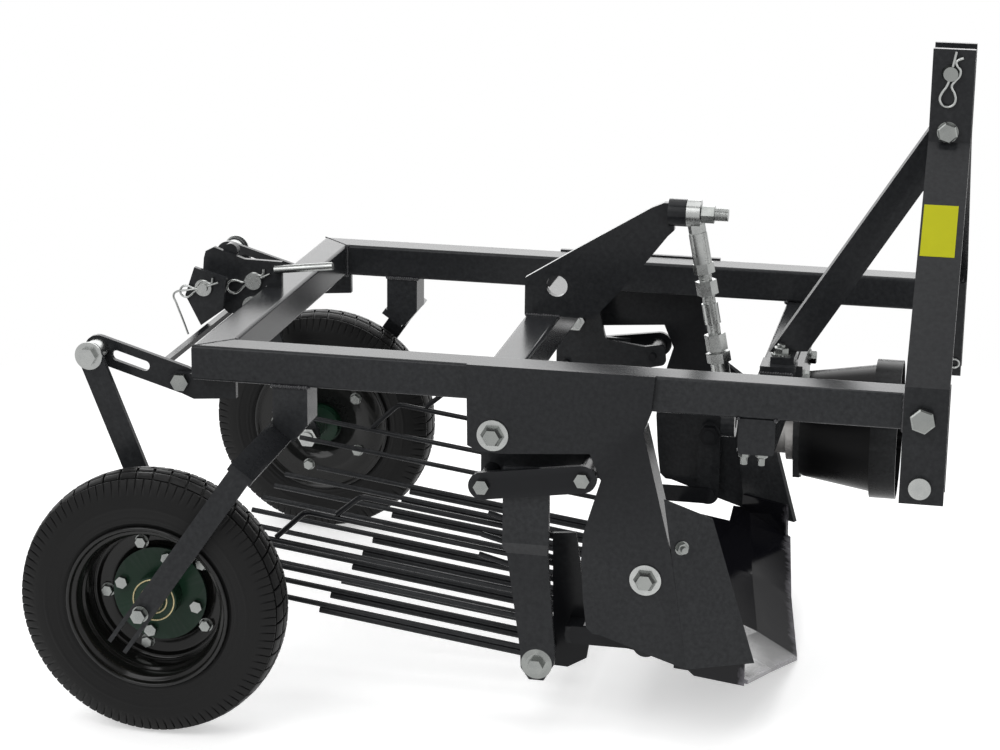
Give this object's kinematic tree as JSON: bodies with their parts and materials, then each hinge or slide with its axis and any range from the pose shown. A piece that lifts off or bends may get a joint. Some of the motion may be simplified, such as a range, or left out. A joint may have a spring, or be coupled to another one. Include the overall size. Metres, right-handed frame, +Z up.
{
  "type": "tractor potato digger",
  "caption": "Three-point-hitch potato digger: square-tube frame, V share between side plates, shaken bar sieve driven by a crank and rocker, and two rear gauge wheels.",
  "frame": {"origin": "on the ground, on the middle plane, midway between the rearmost and the foremost point", "axes": "+X forward, the way the machine is towed, +Y to its left, +Z up"},
  "size_m": [1.2629, 1.04, 0.944],
  "materials": {
    "black_paint": "satin charcoal-black paint on steel tube and flats",
    "share_paint": "gloss black paint on the digging share, bare at the lip",
    "zinc": "bright zinc-plated bolts, pins and rod",
    "bare_steel": "machined steel",
    "guard_plastic": "black moulded plastic, slight sheen",
    "tyre_rubber": "black tyre rubber",
    "rim_paint": "gloss black paint",
    "hub_paint": "dark green gloss paint"
  },
  "bodies": {
    "frame": {"rear_beam": "black_paint", "rail_right": "black_paint", "rail_left": "black_paint", "cross_tube": "black_paint", "side_plate_right": "black_paint", "side_plate_left": "black_paint", "share_cheek_right": "black_paint", "share_cheek_left": "black_paint", "share": "share_paint", "hitch_plate_right": "black_paint", "hitch_plate_left": "black_paint", "hitch_lugs": "black_paint", "lower_hitch_pins": "zinc", "mast_pins": "zinc", "brace_base": "black_paint", "mast_brace": "black_paint", "shaft_plate": "black_paint", "bearing_housing": "bare_steel", "pto_guard": "guard_plastic", "rocker_bolts": "zinc", "hanger_bolts": "zinc", "wheel_arm_right": "black_paint", "wheel_arm_left": "black_paint", "wheel_axles": "zinc", "stay_straps": "black_paint", "stay_bushes": "zinc", "slot_plates": "black_paint", "adjuster_brackets": "black_paint", "rear_pin_bracket": "black_paint", "rear_pins": "zinc"},
    "power_shaft": {"drive_shaft": "bare_steel", "crank_disc": "bare_steel"},
    "rocker": {"rocker_tube": "black_paint", "rocker_ends": "black_paint", "lever_plate": "black_paint", "rocker_leg_right": "black_paint", "rocker_leg_left": "black_paint", "leg_straps": "black_paint"},
    "rod": {"drive_rod": "zinc"},
    "sieve": {"sieve_bars": "black_paint", "sieve_frame": "black_paint"},
    "hanger_right": {"hanger_right": "black_paint"},
    "hanger_left": {"hanger_left": "black_paint"},
    "wheel_right": {"tyre_right": "tyre_rubber", "rim_right": "rim_paint", "hub_right": "hub_paint"},
    "wheel_left": {"tyre_left": "tyre_rubber", "rim_left": "rim_paint", "hub_left": "hub_paint"}
  },
  "joints": [
    {"name": "power_shaft_turn", "type": "hinge", "parent": "frame", "child": "power_shaft", "pos_m": [0.3315, 0, 0.376], "axis": [1, 0, 0], "continuous": true},
    {"name": "rocker_swing", "type": "hinge", "parent": "frame", "child": "rocker", "pos_m": [0.0185, 0, 0.436], "axis": [0, 1, 0], "range_deg": [-2.9, 2.9]},
    {"name": "rod_swing", "type": "hinge", "parent": "rocker", "child": "rod", "pos_m": [0.2425, -0.014, 0.686], "axis": [0, 1, 0], "range_deg": [-0.57, 0.57]},
    {"name": "sieve_swing", "type": "hinge", "parent": "rocker", "child": "sieve", "pos_m": [0.086, 0, 0.109], "axis": [0, 1, 0], "range_deg": [-4.25, 4.25]},
    {"name": "hanger_right_swing", "type": "hinge", "parent": "frame", "child": "hanger_right", "pos_m": [0.235, -0.334, 0.244], "axis": [0, 1, 0], "range_deg": [-9.8, 9.8]},
    {"name": "hanger_left_swing", "type": "hinge", "parent": "frame", "child": "hanger_left", "pos_m": [0.235, 0.334, 0.244], "axis": [0, 1, 0], "range_deg": [-9.8, 9.8]},
    {"name": "wheel_right_turn", "type": "hinge", "parent": "frame", "child": "wheel_right", "pos_m": [-0.4415, -0.447, 0.19], "axis": [0, 1, 0], "continuous": true},
    {"name": "wheel_left_turn", "type": "hinge", "parent": "frame", "child": "wheel_left", "pos_m": [-0.4415, 0.447, 0.19], "axis": [0, 1, 0], "continuous": true}
  ],
  "couplings": [
    {"joint": "rod_swing", "follows": "rocker_swing", "ratio": -0.1935},
    {"joint": "sieve_swing", "follows": "rocker_swing", "ratio": -1.4621},
    {"joint": "hanger_right_swing", "follows": "rocker_swing", "ratio": 3.3753},
    {"joint": "hanger_left_swing", "follows": "rocker_swing", "ratio": 3.3753}
  ]
}
